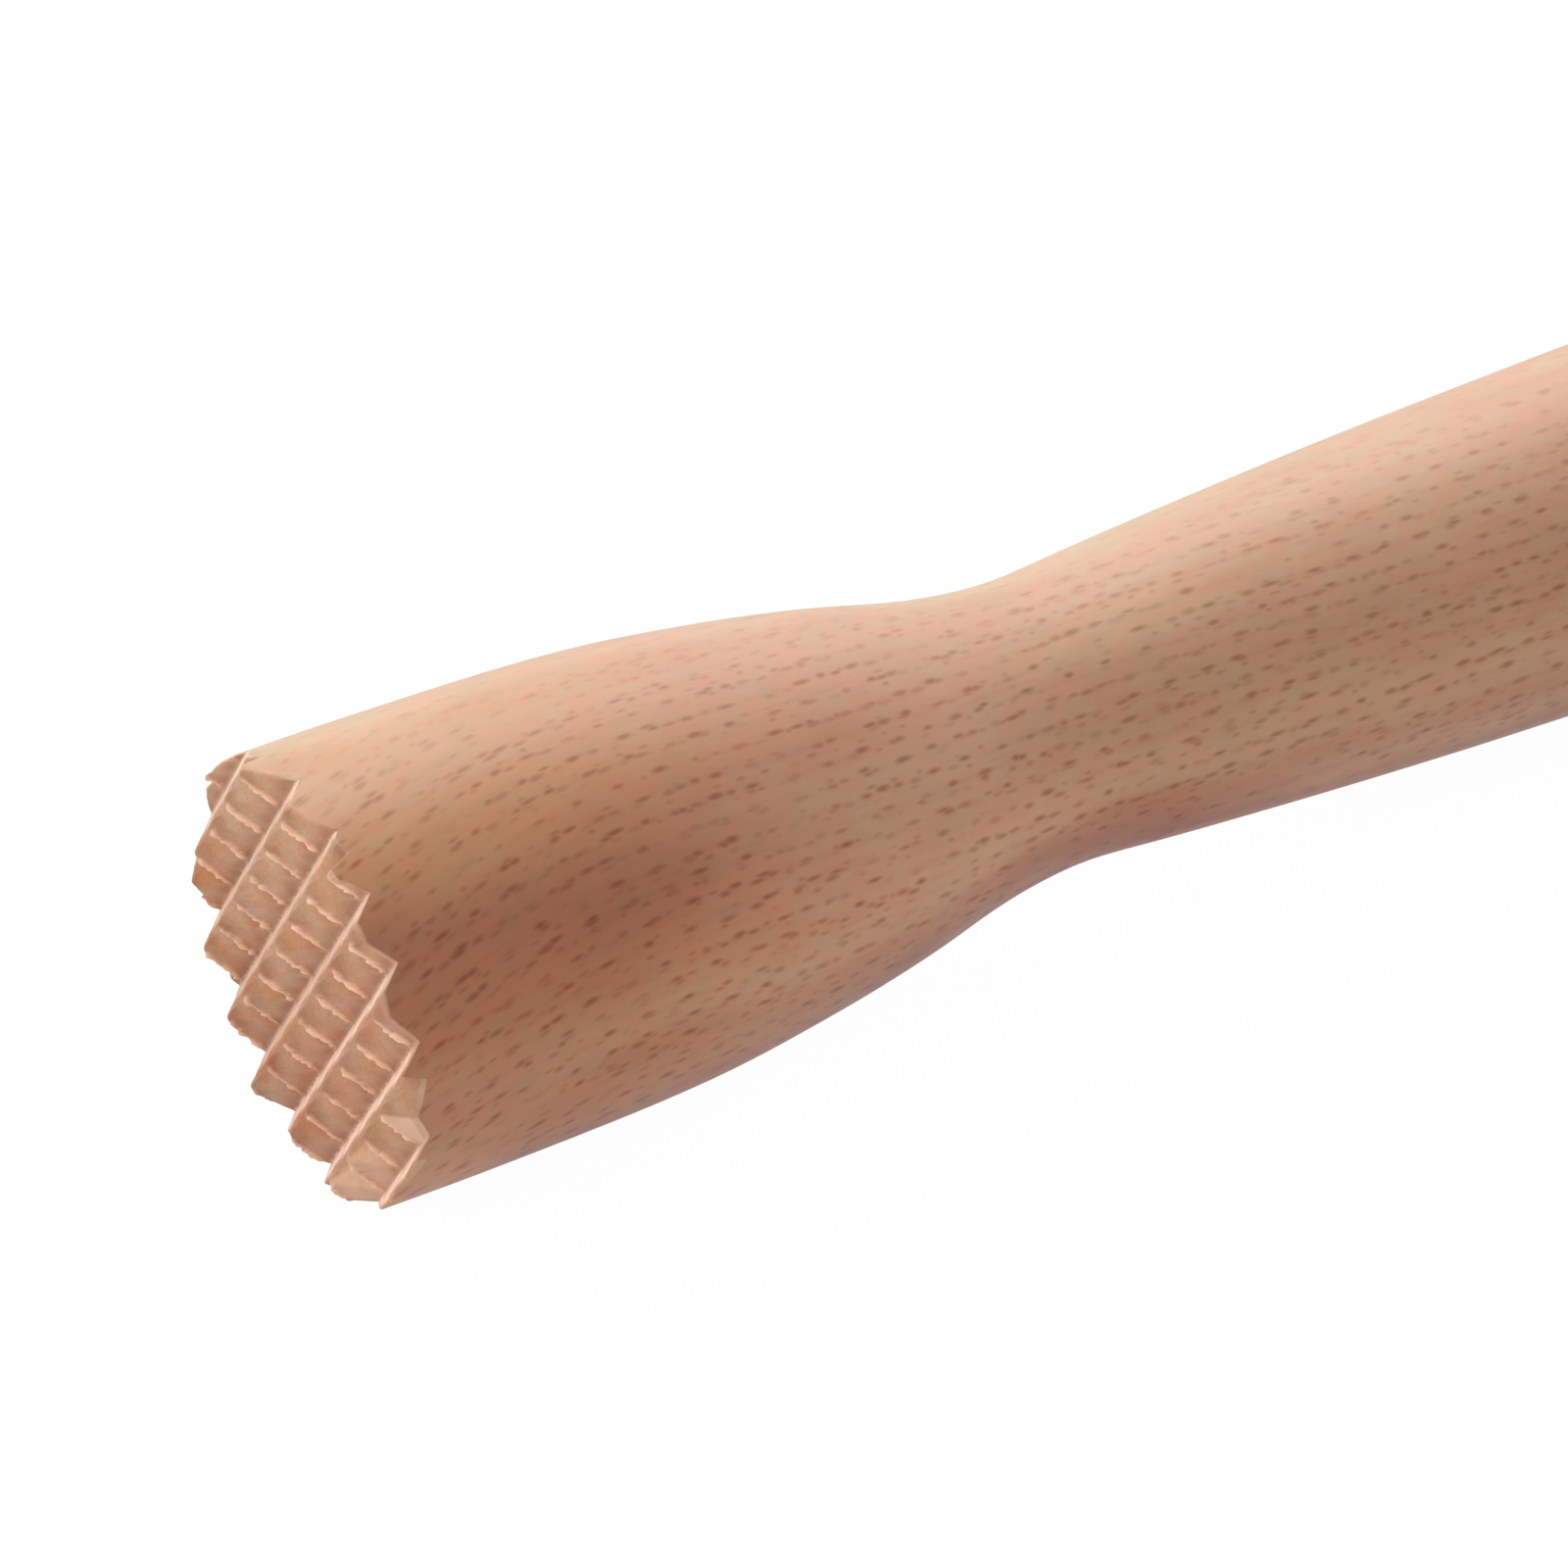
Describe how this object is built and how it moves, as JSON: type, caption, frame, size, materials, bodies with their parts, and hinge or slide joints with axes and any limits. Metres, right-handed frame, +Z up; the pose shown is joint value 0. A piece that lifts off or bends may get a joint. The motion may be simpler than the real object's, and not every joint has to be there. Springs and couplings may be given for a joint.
{
  "type": "cocktail muddler",
  "caption": "Turned wooden cocktail muddler: a wide head milled into small pyramid teeth, a narrow waist and a swelling round grip.",
  "frame": {"origin": "on the surface it lies on, under the middle of its box", "axes": "lying on its side: +X along its length from the toothed end to the butt end, +Z up; the turning axis leans 1.2 degrees, butt end lower, so that head and grip both touch"},
  "size_m": [0.2204, 0.0402, 0.0403],
  "materials": {
    "beech": "fine-sanded, unvarnished, satin"
  },
  "bodies": {
    "root": {"turned_stick": "beech"}
  },
  "joints": []
}
